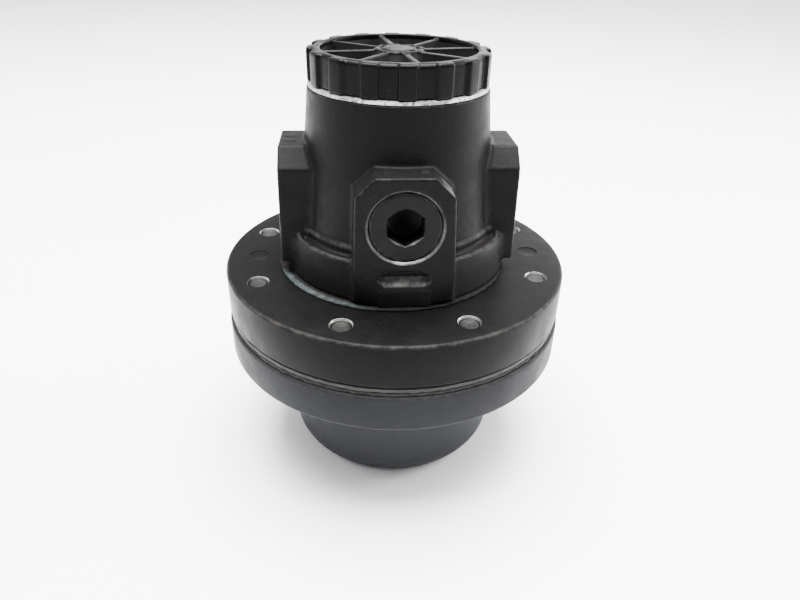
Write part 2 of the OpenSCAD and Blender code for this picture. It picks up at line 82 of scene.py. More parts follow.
def net(f, lo_, hi_, h, pull=3):
    lo_ = np.array(lo_, float); hi_ = np.array(hi_, float)
    n = np.ceil((hi_ - lo_) / h).astype(int) + 1
    B = 8
    nb = np.ceil(n / B).astype(int)
    n = nb * B
    V = np.empty(n, np.float32)
    ci = np.stack(np.meshgrid(*[np.arange(k) for k in nb], indexing="ij"), -1).reshape(-1, 3)
    cen = lo_ + (ci * B + (B - 1) / 2) * h
    fc = f(cen)
    rad = (B / 2 + 0.5) * h * math.sqrt(3) * 1.15
    off = np.stack(np.meshgrid(*[np.arange(B)] * 3, indexing="ij"), -1).reshape(-1, 3)
    near = np.abs(fc) <= rad
    V4 = V.reshape(nb[0], B, nb[1], B, nb[2], B)
    for q in np.where(~near)[0]:
        i, j, k = ci[q]
        V4[i, :, j, :, k, :] = fc[q]
    qs = np.where(near)[0]
    for s in range(0, len(qs), 400):
        part = qs[s:s + 400]
        P = lo_ + ((ci[part] * B)[:, None, :] + off[None]) * h
        val = f(P.reshape(-1, 3)).reshape(len(part), B, B, B)
        for m, q in enumerate(part):
            i, j, k = ci[q]
            V4[i, :, j, :, k, :] = val[m]
    S = V < 0
    cnt = np.zeros(tuple(n - 1), np.int8)
    for a in (0, 1):
        for b in (0, 1):
            for c in (0, 1):
                cnt += S[a:n[0] - 1 + a, b:n[1] - 1 + b, c:n[2] - 1 + c]
    mask = (cnt > 0) & (cnt < 8)
    idx = -np.ones(mask.shape, np.int64)
    cells = np.argwhere(mask)
    idx[mask] = np.arange(len(cells))
    corners = [(a, b, c) for a in (0, 1) for b in (0, 1) for c in (0, 1)]
    cv = {c: V[cells[:, 0] + c[0], cells[:, 1] + c[1], cells[:, 2] + c[2]].astype(float) for c in corners}
    acc = np.zeros((len(cells), 3)); num = np.zeros(len(cells))
    for c in corners:
        for ax in range(3):
            if c[ax] == 0:
                d = list(c); d[ax] = 1; d = tuple(d)
                a, b = cv[c], cv[d]
                cross = (a < 0) != (b < 0)
                t = np.where(cross, a / np.where(cross, a - b, 1), 0)
                p = np.array(c, float)[None].repeat(len(cells), 0)
                p[:, ax] = t
                acc[cross] += p[cross]; num += cross
    verts = lo_ + (cells + acc / np.maximum(num, 1)[:, None]) * h
    quads = []
    for ax in range(3):
        u, w = [(1, 2), (2, 0), (0, 1)][ax]
        sl0 = [slice(None)] * 3; sl1 = [slice(None)] * 3
        sl0[ax] = slice(0, n[ax] - 1); sl1[ax] = slice(1, n[ax])
        A, Bq = S[tuple(sl0)], S[tuple(sl1)]
        for flip, E in ((False, A & ~Bq), (True, ~A & Bq)):
            e = np.argwhere(E)
            ok = (e[:, u] > 0) & (e[:, w] > 0) & (e[:, u] < n[u] - 1) & (e[:, w] < n[w] - 1)
            e = e[ok]
            def cell(du, dw):
                q = e.copy(); q[:, u] -= du; q[:, w] -= dw
                return idx[q[:, 0], q[:, 1], q[:, 2]]
            qd = np.stack([cell(1, 1), cell(0, 1), cell(0, 0), cell(1, 0)], 1)
            quads.append(qd[:, ::-1] if flip else qd)
    quads = np.concatenate(quads)
    eps = h * 0.15
    for _ in range(pull):
        d = f(verts)
        g = np.stack([f(verts + np.eye(3)[k] * eps) - f(verts - np.eye(3)[k] * eps) for k in range(3)], 1) / (2 * eps)
        g2 = np.maximum((g ** 2).sum(1), 0.2)
        step = -(d / g2)[:, None] * g
        ln = np.linalg.norm(step, axis=1)
        step *= np.minimum(1, 0.5 * h / np.maximum(ln, 1e-9))[:, None]
        verts = verts + step
    return verts, quads

def to_object(name, verts_mm, faces, smooth=True, sharp_deg=None, attrs=None):
    me = bpy.data.meshes.new(name)
    if isinstance(faces, np.ndarray):
        nf = len(faces); k = faces.shape[1]
        me.vertices.add(len(verts_mm))
        me.vertices.foreach_set("co", (np.asarray(verts_mm, float) * MM).ravel())
        me.loops.add(nf * k)
        me.loops.foreach_set("vertex_index", faces.ravel().astype(np.int32))
        me.polygons.add(nf)
        me.polygons.foreach_set("loop_start", (np.arange(nf) * k).astype(np.int32))
        me.update(calc_edges=True)
    else:
        me.from_pydata([tuple(np.asarray(v) * MM) for v in verts_mm], [], faces)
    me.validate()
    me.polygons.foreach_set("use_smooth", [smooth] * len(me.polygons))
    if sharp_deg:
        me.set_sharp_from_angle(angle=math.radians(sharp_deg))
    for nm, val in (attrs or {}).items():
        at = me.attributes.new(nm, "FLOAT", "POINT")
        at.data.foreach_set("value", np.asarray(val, np.float32))
    ob = bpy.data.objects.new(name, me)
    bpy.context.scene.collection.objects.link(ob)
    return ob

def field_piece(name, f, lo_, hi_, h, lightening=None):
    v, q = net(f, lo_, hi_, h)
    attrs = {}
    # convexity of the surface: how much lower the field's average is a little inside and outside
    r = 0.7
    dirs = np.array([[1, 0, 0], [-1, 0, 0], [0, 1, 0], [0, -1, 0], [0, 0, 1], [0, 0, -1]], float)
    s = sum(f(v + d * r) for d in dirs) / 6
    attrs["edge"] = np.clip(s / r * 3.2, -1, 1)
    if lightening is not None:
        attrs["machined_and_lightened"] = lightening(v)
    return to_object(name, v, q, attrs=attrs)

# ---- lathe, cutters ----
def arc(cx, cy, r, a0, a1, n=8):
    return [(cx + r * math.cos(math.radians(a0 + (a1 - a0) * i / n)), cy + r * math.sin(math.radians(a0 + (a1 - a0) * i / n))) for i in range(n + 1)]

def lathe(name, prof, seg=192, closed=True, sharp=28, warp=None):
    prof = np.array(prof, float)
    m = len(prof)
    th = np.arange(seg) * 2 * math.pi / seg
    if name == "cutter":
        prof[:, 0] = np.where(prof[:, 0] < 0.001, 0.0001, prof[:, 0])
    R, Z = prof[:, 0], prof[:, 1]
    P = np.zeros((seg, m, 3))
    P[:, :, 0] = np.cos(th)[:, None] * R; P[:, :, 1] = np.sin(th)[:, None] * R; P[:, :, 2] = Z
    if warp is not None:
        P = warp(P, th)
    faces = []
    for i in range(seg):
        j = (i + 1) % seg
        for k in range(m if closed else m - 1):
            l = (k + 1) % m
            faces.append((i * m + k, j * m + k, j * m + l, i * m + l))
    v = P.reshape(-1, 3)
    ob = to_object(name, v, faces, sharp_deg=None)
    bm = bmesh.new(); bm.from_mesh(ob.data)
    bmesh.ops.remove_doubles(bm, verts=bm.verts, dist=1e-7)
    bmesh.ops.recalc_face_normals(bm, faces=bm.faces)
    bm.to_mesh(ob.data); bm.free()
    ob.data.polygons.foreach_set("use_smooth", [True] * len(ob.data.polygons))
    ob.data.set_sharp_from_angle(angle=math.radians(sharp))
    return ob

def cut(ob, cutters, sharp=28):
    """Subtracts the cutter objects and removes them."""
    bpy.context.view_layer.update()
    for c in cutters:
        m = ob.modifiers.new("cut", "BOOLEAN")
        m.operation = "DIFFERENCE"; m.solver = "EXACT"; m.object = c
    dg = bpy.context.evaluated_depsgraph_get()
    me = bpy.data.meshes.new_from_object(ob.evaluated_get(dg))
    ob.modifiers.clear()
    ob.data = me
    for c in cutters:
        bpy.data.objects.remove(c)
    bm = bmesh.new(); bm.from_mesh(me)
    bmesh.ops.remove_doubles(bm, verts=bm.verts, dist=2e-7)
    bm.to_mesh(me); bm.free()
    me.polygons.foreach_set("use_smooth", [True] * len(me.polygons))
    me.set_sharp_from_angle(angle=math.radians(sharp))
    return ob

def joined(obs, name):
    base = obs[0]
    bm = bmesh.new()
    for o in obs:
        o.data.transform(o.matrix_world); o.matrix_world = Matrix.Identity(4)
        bm.from_mesh(o.data)
    me = bpy.data.meshes.new(name); bm.to_mesh(me); bm.free()
    me.polygons.foreach_set("use_smooth", [True] * len(me.polygons))
    ob = bpy.data.objects.new(name, me); bpy.context.scene.collection.objects.link(ob)
    for o in obs:
        bpy.data.objects.remove(o)
    return ob

def moved(ob, x=0, y=0, z=0, rz=0):
    ob.data.transform(Matrix.Rotation(rz, 4, "Z") @ Matrix.Translation((x * MM, y * MM, z * MM)))
    return ob

# ======================================================================
# materials
# ======================================================================
class Mat:
    def __init__(s, name):
        s.m = bpy.data.materials.new(name); s.m.use_nodes = True
        s.t = s.m.node_tree; s.n = s.t.nodes; s.l = s.t.links
        s.b = s.n["Principled BSDF"]; s.tc = s.n.new("ShaderNodeTexCoord")
    def node(s, kind, **kw):
        x = s.n.new("ShaderNode" + kind)
        for k, v in kw.items():
            if k in x.inputs: x.inputs[k].default_value = v
            else: setattr(x, k, v)
        return x
    def link(s, a, b): s.l.new(a, b)
    def noise(s, scale, detail=4, rough=0.55, dist=0.0, coord=None):
        x = s.node("TexNoise"); x.inputs["Scale"].default_value = scale; x.inputs["Detail"].default_value = detail
        x.inputs["Roughness"].default_value = rough; x.inputs["Distortion"].default_value = dist
        s.link(coord or s.tc.outputs["Object"], x.inputs["Vector"])
        return x.outputs["Fac"]
    def ramp(s, fac, stops):
        x = s.node("ValToRGB")
        e = x.color_ramp.elements
        while len(e) < len(stops): e.new(0.5)
        for i, (p, c) in enumerate(stops):
            e[i].position = p; e[i].color = (c[0], c[1], c[2], 1) if not isinstance(c, (int, float)) else (c, c, c, 1)
        s.link(fac, x.inputs["Fac"])
        return x.outputs["Color"]
    def math(s, op, a, b=None, clamp=False):
        x = s.node("Math"); x.operation = op; x.use_clamp = clamp
        for i, v in enumerate((a, b)):
            if v is None: continue
            if isinstance(v, (int, float)): x.inputs[i].default_value = v
            else: s.link(v, x.inputs[i])
        return x.outputs[0]
    def mix(s, fac, a, b):
        x = s.node("Mix"); x.data_type = "RGBA"
        for sock, v in ((x.inputs["Factor"], fac), (x.inputs[6], a), (x.inputs[7], b)):
            if isinstance(v, (int, float)): sock.default_value = v
            elif isinstance(v, tuple): sock.default_value = (*v, 1)
            else: s.link(v, sock)
        return x.outputs[2]
    def mapr(s, v, a, b, c, d):
        x = s.node("MapRange"); x.clamp = True
        s.link(v, x.inputs["Value"])
        for k, q in zip(("From Min", "From Max", "To Min", "To Max"), (a, b, c, d)): x.inputs[k].default_value = q
        return x.outputs["Result"]
    def attr(s, name):
        x = s.node("Attribute"); x.attribute_name = name
        return x.outputs["Fac"]
    def xyz(s):
        x = s.node("SeparateXYZ"); s.link(s.tc.outputs["Object"], x.inputs[0]); return x.outputs
    def bump(s, height, dist, strength=1.0, prev=None):
        x = s.node("Bump"); x.inputs["Distance"].default_value = dist; x.inputs["Strength"].default_value = strength
        s.link(height, x.inputs["Height"])
        if prev is not None: s.link(prev, x.inputs["Normal"])
        return x.outputs["Normal"]
    def out(s, color=None, rough=None, normal=None, metal=0.0, **consts):
        if color is not None:
            if isinstance(color, tuple): s.b.inputs["Base Color"].default_value = (*color, 1)
            else: s.link(color, s.b.inputs["Base Color"])
        if rough is not None:
            if isinstance(rough, (int, float)): s.b.inputs["Roughness"].default_value = rough
            else: s.link(rough, s.b.inputs["Roughness"])
        if normal is not None: s.link(normal, s.b.inputs["Normal"])
        if isinstance(metal, (int, float)): s.b.inputs["Metallic"].default_value = metal
        else: s.link(metal, s.b.inputs["Metallic"])
        for k, v in consts.items(): s.b.inputs[k.replace("_", " ")].default_value = v
        return s.m

def paint(name, base, tint, rough0, edge=None, wear_and_highlight_rings=None, specks=0.3, grain=0.00009, machined_and_lightened=False, spec=0.13, wear_and_highlight=(0.034, 0.0325, 0.0305),
          painted_fill_light=None, wave=0.35):
    """Satin paint on a casting: faint mottling, fine orange peel, dust and edges rubbed bright; optional bands that are
    partly rubbed paint and partly painted highlight, and an optional painted fill light that lightens the lower part.
    """
    m = Mat(name)
    big = m.noise(38, 3)
    fine = m.noise(900, 3, 0.6)
    peel = m.noise(1500, 2, 0.5)
    col = m.ramp(big, [(0.3, tuple(c * 0.82 for c in base)), (0.7, tuple(c * 1.2 for c in base))])
    col = m.mix(m.mapr(fine, 0.42, 0.75, 0.0, 0.35), col, tint)
    # painted fill light: the paint is lightened from a given height down to the base, scaled by a ramp across x so the
    # right side gets more, standing in for light the lamps don't bring to the lower parts
    if painted_fill_light:
        p = m.xyz()
        k_ = m.mapr(p[2], painted_fill_light[0] * MM, painted_fill_light[1] * MM, 1.0, 0.0)
        k_ = m.math("MULTIPLY", k_, m.mapr(p[0], *painted_fill_light[3]))
        col = m.mix(k_, col, painted_fill_light[2])
    dust = m.mapr(m.noise(2300, 1, 0.4), 0.765, 0.80, 0.0, specks)
    col = m.mix(dust, col, (0.05, 0.049, 0.046))
    lightening = None
    if edge is not None:
        w = m.mapr(m.attr(edge), 0.28, 0.75, 0.0, 1.0)
        lightening = m.math("MULTIPLY", w, m.mapr(m.noise(420, 4, 0.7), 0.48, 0.70, 0.0, 1.0))
    # bands of lighter tone around given circles in (r, z): partly rubbed paint, partly painted highlight lines on edges
    # and ridges
    if wear_and_highlight_rings:
        p = m.xyz()
        r = m.math("SQRT", m.math("ADD", m.math("POWER", p[0], 2.0), m.math("POWER", p[1], 2.0)))
        for (R, Z, width, amount) in wear_and_highlight_rings:
            d = m.math("SQRT", m.math("ADD", m.math("POWER", m.math("SUBTRACT", r, R * MM), 2.0), m.math("POWER", m.math("SUBTRACT", p[2], Z * MM), 2.0)))
            w = m.math("MULTIPLY", m.mapr(d, 0.0, width * MM, amount, 0.0), m.mapr(m.noise(330, 5, 0.75), 0.40, 0.62, 0.15, 1.0))
            lightening = w if lightening is None else m.math("MAXIMUM", lightening, w)
    # convex edges take the rubbed-paint tone; the bands add painted highlight in the same tone
    if lightening is not None:
        col = m.mix(lightening, col, wear_and_highlight)
    rough = m.mapr(m.noise(160, 4), 0.3, 0.7, rough0 - 0.07, rough0 + 0.08)
    n1 = m.bump(peel, grain, 0.8)
    n2 = m.bump(m.noise(260, 3), 0.00012, wave, n1)
    met = 0.0
    # bare-metal tone, lower roughness and metallic finish from the mesh's mask attribute; on the body and port plugs
    # that mask also carries painted highlights
    if machined_and_lightened:
        k_ = m.attr("machined_and_lightened")
        col = m.mix(k_, col, m.ramp(m.noise(300, 4, 0.7), [(0.35, (0.06, 0.059, 0.056)), (0.65, (0.20, 0.196, 0.188))]))
        rough = m.math("MULTIPLY", rough, m.mapr(k_, 0.0, 1.0, 1.0, 0.75))
        met = k_
    return m.out(col, rough, n2, met, Specular_IOR_Level=spec)

def metal(name, base, rough0, vary=0.25, scale=350, turned=None, bump=0.00003, stain=None, machined_and_lightened=None):
    m = Mat(name)
    a = m.noise(scale, 4, 0.6)
    col = m.ramp(a, [(0.3, tuple(c * (1 - vary) for c in base)), (0.7, tuple(min(1, c * (1 + vary * 0.6)) for c in base))])
    if stain:
        col = m.mix(m.mapr(m.noise(90, 4, 0.7), 0.5, 0.68, 0.0, 0.7), col, stain)
    if machined_and_lightened:
        col = m.mix(m.attr("machined_and_lightened"), col, machined_and_lightened)
    rough = m.mapr(m.noise(scale * 2.2, 3), 0.3, 0.7, rough0 - 0.08, rough0 + 0.12)
    n = m.bump(m.noise(scale * 5, 2), bump, 0.7)
    if turned:
        w = m.node("TexWave"); w.wave_type = "RINGS"; w.rings_direction = turned
        w.inputs["Scale"].default_value = 1400; w.inputs["Distortion"].default_value = 0.6
        m.link(m.tc.outputs["Object"], w.inputs["Vector"])
        n = m.bump(w.outputs["Fac"], 0.000012, 0.6, n)
    return m.out(col, rough, n, 1.0)

def rubber(name, base, rough0=0.75, scale=600):
    m = Mat(name)
    col = m.ramp(m.noise(scale, 4), [(0.3, tuple(c * 0.6 for c in base)), (0.72, tuple(c * 1.8 for c in base))])
    n = m.bump(m.noise(scale * 3, 3), 0.00005, 0.8)
    return m.out(col, m.mapr(m.noise(scale * 0.6, 3), 0.3, 0.7, rough0 - 0.1, rough0 + 0.1), n, 0.0, Specular_IOR_Level=0.2)

def plastic(name, base, rough0, edge=None, spec=0.2, lighter_pocket_floors=False):
    m = Mat(name)
    col = m.ramp(m.noise(120, 4), [(0.3, tuple(c * 0.8 for c in base)), (0.7, tuple(c * 1.35 for c in base))])
    dust = m.mapr(m.noise(1900, 1, 0.4), 0.75, 0.79, 0.0, 0.3)
    col = m.mix(dust, col, (0.04, 0.039, 0.037))
    if edge:
        w = m.math("MULTIPLY", m.mapr(m.attr(edge), 0.40, 0.9, 0.0, 0.32), m.mapr(m.noise(380, 4, 0.7), 0.45, 0.68, 0.0, 1.0))
        w = m.math("MULTIPLY", w, m.mapr(m.noise(55, 2), 0.46, 0.60, 0.12, 1.0))
        col = m.mix(w, col, (0.022, 0.0215, 0.0205))
    rough = m.mapr(m.noise(210, 4), 0.3, 0.7, rough0 - 0.08, rough0 + 0.1)
    # pocket floors lighter and rougher, from the mesh's mask attribute
    if lighter_pocket_floors:
        k_ = m.math("MULTIPLY", m.attr("machined_and_lightened"), m.mapr(m.noise(170, 4), 0.3, 0.65, 0.4, 1.0))
        col = m.mix(k_, col, (0.019, 0.0185, 0.0175))
        rough = m.math("MAXIMUM", rough, m.math("MULTIPLY", k_, 0.7))
    n = m.bump(m.noise(1100, 2), 0.00005, 0.6)
    return m.out(col, rough, n, 0.0, Specular_IOR_Level=spec)

M = {}
M["body"] = paint("cast_body_paint", (0.0035, 0.0033, 0.0032), (0.0062, 0.0059, 0.0057), 0.42, edge="edge", machined_and_lightened=True, spec=0.035,
                  # bands: a lighter line on the skirt's lower edge; painted highlight on the ridge of the skirt lip and
                  # on the bead at the tube's base
                  wear_and_highlight_rings=[(35.2, z6 + 0.35, 0.38, 0.32), (33.9, zs - 0.45, 1.1, 0.75), (31.0, zs + 2.1, 1.2, 0.75)],
                  # painted fill light on the body: lighter from the base up past the lip, strongest on the right
                  painted_fill_light=(z6 + 2, zs + 2, (0.0150, 0.0145, 0.0140), (-0.004, 0.03, 0.18, 1.0)))
M["flange"] = paint("flange_paint", (0.0025, 0.00245, 0.0024), (0.0052, 0.0051, 0.0050), 0.40,
                    # bands on the flange's top and bottom edges: rubbed paint with a painted highlight line
                    wear_and_highlight_rings=[(FR - 0.2, z5 - 0.2, 0.9, 0.42), (FR, z4, 0.9, 0.35)], spec=0.028, wear_and_highlight=(0.056, 0.052, 0.048), grain=0.00003, wave=0.12)
M["bonnet"] = paint("bonnet_paint", (0.0095, 0.0098, 0.0108), (0.0140, 0.0144, 0.0155), 0.44,
                    # bands in the lighter tone along the bonnet flange's edges
                    wear_and_highlight_rings=[(BR, z2, 0.9, 0.5), (BR - 0.5, z1, 1.0, 0.4)], spec=0.03, wear_and_highlight=(0.05, 0.048, 0.044),
                    # painted fill light on the bonnet: the dome below the flange is lightened where it sits in shade, a
                    # little more on the right
                    painted_fill_light=(26, 37, (0.0235, 0.024, 0.0258), (-0.05, 0.05, 0.85, 1.0)))
M["plug"] = plastic("plug_plastic", (0.0015, 0.0015, 0.00155), 0.32, edge="edge", spec=0.045, lighter_pocket_floors=True)
M["oxide"] = metal("black_oxide_steel", (0.0062, 0.0062, 0.0064), 0.40, 0.2, 420, turned="Y", bump=0.00003)
M["portplug"] = paint("port_plug_oxide", (0.0033, 0.0033, 0.0034), (0.0066, 0.0066, 0.0067), 0.42, machined_and_lightened=True, spec=0.05, specks=0.1)
M["zinc"] = metal("dull_zinc_steel", (0.46, 0.45, 0.43), 0.42, 0.25, 500, stain=(0.16, 0.15, 0.14))
M["rim"] = metal("bright_rim", (0.46, 0.45, 0.43), 0.36, 0.3, 500, stain=(0.12, 0.115, 0.11))
M["screw_end"] = metal("dull_screw_end", (0.026, 0.0255, 0.025), 0.5, 0.4, 900, bump=0.00008, stain=(0.008, 0.008, 0.008))
M["alloy"] = metal("bare_alloy", (0.42, 0.42, 0.415), 0.42, 0.5, 90, stain=(0.05, 0.049, 0.047))
M["plate"] = metal("turned_aluminium", (0.72, 0.73, 0.75), 0.34, 0.12, 300, turned="Z")
M["brass"] = metal("turned_brass", (0.75, 0.56, 0.26), 0.3, 0.12, 300, turned="Z")
M["bronze"] = metal("sintered_bronze", (0.55, 0.38, 0.2), 0.5, 0.2, 900, bump=0.00006)
M["spring"] = metal("oiled_spring_wire", (0.34, 0.35, 0.37), 0.3, 0.2, 500)
M["seal"] = rubber("seal_rubber", (0.018, 0.018, 0.018), 0.5)
M["diaphragm"] = rubber("diaphragm_edge_rubber", (0.0068, 0.0062, 0.0056), 0.62)
M["gasket2"] = rubber("dark_fibre_gasket", (0.0120, 0.0108, 0.0094), 0.8, 900)
def fibre(name):
    m = Mat(name)
    p = m.xyz()
    a = m.math("ADD", m.math("MULTIPLY", p[0], -24.0), m.math("MULTIPLY", p[1], -9.0))
    k_ = m.math("MULTIPLY", m.mapr(a, 0.50, 0.74, 0.0, 1.0), m.mapr(m.noise(260, 4), 0.3, 0.55, 0.45, 1.0))
    rr_ = m.math("SQRT", m.math("ADD", m.math("POWER", p[0], 2.0), m.math("POWER", p[1], 2.0)))
    k_ = m.math("MULTIPLY", k_, m.mapr(rr_, 0.0361, 0.0367, 0.04, 1.0))
    k_ = m.math("MULTIPLY", k_, m.mapr(p[1], -0.0128, -0.0108, 1.0, 0.0))
    dull = m.ramp(m.noise(700, 4), [(0.3, (0.0045, 0.0043, 0.0040)), (0.7, (0.010, 0.0096, 0.0088))])
    pale = m.ramp(m.noise(520, 3), [(0.3, (0.0185, 0.0222, 0.0228)), (0.7, (0.036, 0.0425, 0.043))])
    return m.out(m.mix(k_, dull, pale), 0.75, m.bump(m.noise(2100, 3), 0.00005, 0.8), 0.0, Specular_IOR_Level=0.03)
M["gasket"] = fibre("blue_grey_fibre_gasket")
M["acetal"] = plastic("natural_acetal", (0.62, 0.61, 0.57), 0.4, spec=0.45)

def dress(ob, key):
    ob.data.materials.clear(); ob.data.materials.append(M[key])

CARRIED = {"body_screws": "oxide", "upper_plate": "plate", "lower_plate": "plate", "diaphragm_bolt": "brass", "diaphragm_nut": "zinc",
           "range_spring": "spring", "spring_button": "zinc", "adjusting_screw": "oxide", "lock_nut": "zinc", "stem_bush": "bronze",
           "valve_stem": "zinc", "valve_seat": "brass", "seat_o_ring": "seal", "valve_poppet": "brass", "valve_seal": "seal",
           "valve_spring": "spring", "valve_guide": "acetal", "guide_o_ring": "seal", "plug_o_ring": "seal", "diaphragm": "diaphragm"}
for n, k in CARRIED.items():
    o = N[n]
    for i in range(max(1, len(o.material_slots))):
        if len(o.material_slots): o.material_slots[i].material = M[k]
        else: o.data.materials.append(M[k])

# ======================================================================
# cast body
# ======================================================================
def boss_field(u, w, z, zb, face=FACE, k=0.8):
    """u runs across the boss, w outwards from the axis."""
    au = np.abs(u)
    d = smax(w - face, 6 - w, 0.8)
    half = 13.25 + 1.6 * np.clip((zt - z) / 38.6, 0, 1)
    d = smax(d, au - half, k)
    d = smax(d, z - zt, k)
    d = smax(d, (au - 7.9 + z - zt) * 0.70711, 0.4)
    d = smax(d, zb - z, 0.6 if zb > z6 + 1 else 0.05)
    return d

def thread(P, axis_pos, ang, r0, depth, pitch):
    t = (axis_pos / pitch + ang / (2 * np.pi)) % 1.0
    tri = np.abs(t * 2 - 1)
    return r0 + depth * np.clip(tri * 1.15 - 0.07, 0, 1)

def f_body(P):
    x, y, z = P[:, 0], P[:, 1], P[:, 2]
    r = np.hypot(x, y)
    R = 30.4 - (z - z5 - 14.8) * (30.4 - 26.7) / (zr - z5 - 14.8)
    tube = smax((r - R) * 0.995, z - zr, 0.7)
    tube = smax(tube, z6 - z, 0.1)
    skirt = smax(r - 35.35 + 0.05 * (z - z6), z - zs, 1.7)
    skirt = smax(skirt, z6 - z, 0.7)
    d = smin(tube, skirt, 0.9)
    # channel between the rounded lip of the skirt and the bead at the foot of the tube
    d = smin(d, np.maximum(np.hypot(r - 29.9, np.maximum(z - zs - 1.7, 0)) - 1.2, zs - 3 - z), 0.6)
    ch = np.hypot(r - 32.4, np.minimum(z - zs - 0.8, 0)) - 1.3
    d = smax(d, -ch, 0.55)
    up = np.clip((z - z6) / 38.6, 0, 1)
    # the lower corners of the front and rear bosses run out into the round base
    front = np.minimum(boss_field(x + 0.3 * up, -y, z, z6), boss_field(x, y, z, z6))
    front = smax(front, (r - 36.55 - 0.26 * (z - z6)) * 0.967, 1.3)
    side = np.minimum(boss_field(y, -x, z, z5 + 5, FACE - 0.65 * up), boss_field(y, x, z, z5 + 5, FACE - 0.3 - 0.25 * up))
    d = smin(d, front, 1.4)
    d = smin(d, side, 1.6)
    # raised rounded ends of the skirt lip beside the inlet and outlet bosses
    a = np.degrees(np.arctan2(np.abs(y), np.abs(x)))
    s = (a - 25.7) * math.pi / 180 * 33.4
    lip = np.sqrt(s ** 2 + (r - 33.75) ** 2 + np.clip(z - (zs - 0.5), 0, None) ** 2 + np.clip(zs - 4 - z, 0, None) ** 2) - 1.25
    d = smin(d, lip, 0.9)
    # pad below the front and rear ports
    ay = np.abs(y)
    pad = smax(smax(np.abs(x) - 7.5 - (z - z6) * 0.05, ay - FACE - 0.08, 0.5), smax(z - (z5 + 6.3), 30 - ay, 0.5), 0.5)
    pad = smax(pad, z6 - z, 0.05)
    d = smin(d, pad, 0.35)
    # cast recess above the pad: sloping floor, chamfered upper corners
    inn = FACE - ay
    aX = np.abs(x)
    rec = smax(aX - 7.5, (z - z5 - 12.35), 0.2)
    rec = smax(rec, (aX + (z - z5) - 17.5) * 0.70711, 0.3)
    rec = smax(rec, (aX - (z - z5) * 0.84 + 0.5) * 0.766, 0.3)
    rec = smax(rec, (z5 + 7.25 - z) * 0.66 + inn * 0.80 - 0.05, 0.3)
    rec = smax(rec, inn - 2.5, 0.4)
    rec = smax(rec, 28 - ay, 0.5)
    d = smax(d, -rec, 0.35)
    # generic raised marks
    for cx in (-4.6, 5.0):
        mk = np.maximum(np.maximum(np.abs(x - cx) - 1.15, np.abs(y + FACE - 5.7) - 1.2), np.abs(z - zt) - 0.26)
        d = smin(d, mk, 0.2)
    for cy in (-2.2, 2.2):
        mk = np.maximum(np.maximum(np.abs(y - cy) - 0.6, np.abs(x + FACE - 4.0) - 1.6), np.abs(z - zt) - 0.28)
        d = smin(d, mk, 0.35)
    # ports
    q = z - zp
    rx = np.hypot(y, q); ry = np.hypot(x, q)
    ax = np.abs(x)
    ang = np.arctan2(q, y)
    rt = thread(P, ax, np.where(x > 0, ang, -ang), 9.32, 0.85, 1.814)
    px = smax((rx - rt) * 0.75, FACE - 15 - ax, 0.25)
    px = smin(px, smax((rx - 11.1 + (FACE - 0.45 - ax)) * 0.70711, 30 - ax, 0.1), 0.15)
    py = smax(ry - 10.16, FACE - 13 - ay, 0.25)
    py = smin(py, smax((ry - 11.05 + (FACE - ay)) * 0.70711, 30 - ay, 0.1), 0.12)
    d = smax(d, -px, 0.2)
    d = smax(d, -py, 0.2)
    pas = smax(rx - 5.5, np.maximum(16.5 - ax, ax - 23), 0.3)
    d = np.maximum(d, -pas)
    vi = np.maximum(np.hypot(x + 18.6, y) - 4, np.maximum(zp - z, z - zp - 10))
    vo = np.maximum(np.hypot(x - 18.6, y) - 4, np.maximum(z5 + 10 - z, z - zp))
    d = np.maximum(d, -np.minimum(vi, vo))
    # chambers
    cav = np.maximum(r - 21, z - (z5 + 13.6))
    cav = np.minimum(cav, np.maximum(r - 12, np.maximum(z5 + 10 - z, z - (z5 + 24))))
    cav = np.minimum(cav, np.maximum(r - 13, np.maximum(z5 + 20 - z, z - (z5 + 40))))
    cav = np.minimum(cav, np.maximum(r - 20.5, z5 + 32.6 - z))
    tb = (z / 1.5 + np.arctan2(y, x) / (2 * np.pi)) % 1.0
    cav = np.minimum(cav, np.maximum((r - 22.9 - 0.3 * np.abs(tb * 2 - 1)) * 0.9, z5 + 41.6 - z))
    d = np.maximum(d, -cav)
    gp = np.maximum(np.hypot(x, z - z5 - 22) - 1.6, np.maximum(10 - ay, ay - 24))
    d = np.maximum(d, -gp)
    tap = None
    for k in range(4):
        a = math.radians(45 + 90 * k)
        c = np.hypot(x - 28.5 * math.cos(a), y - 28.5 * math.sin(a)) - 2.5
        c = np.maximum(c, z - (z6 + 8.6))
        d = np.maximum(d, -c)
    return d

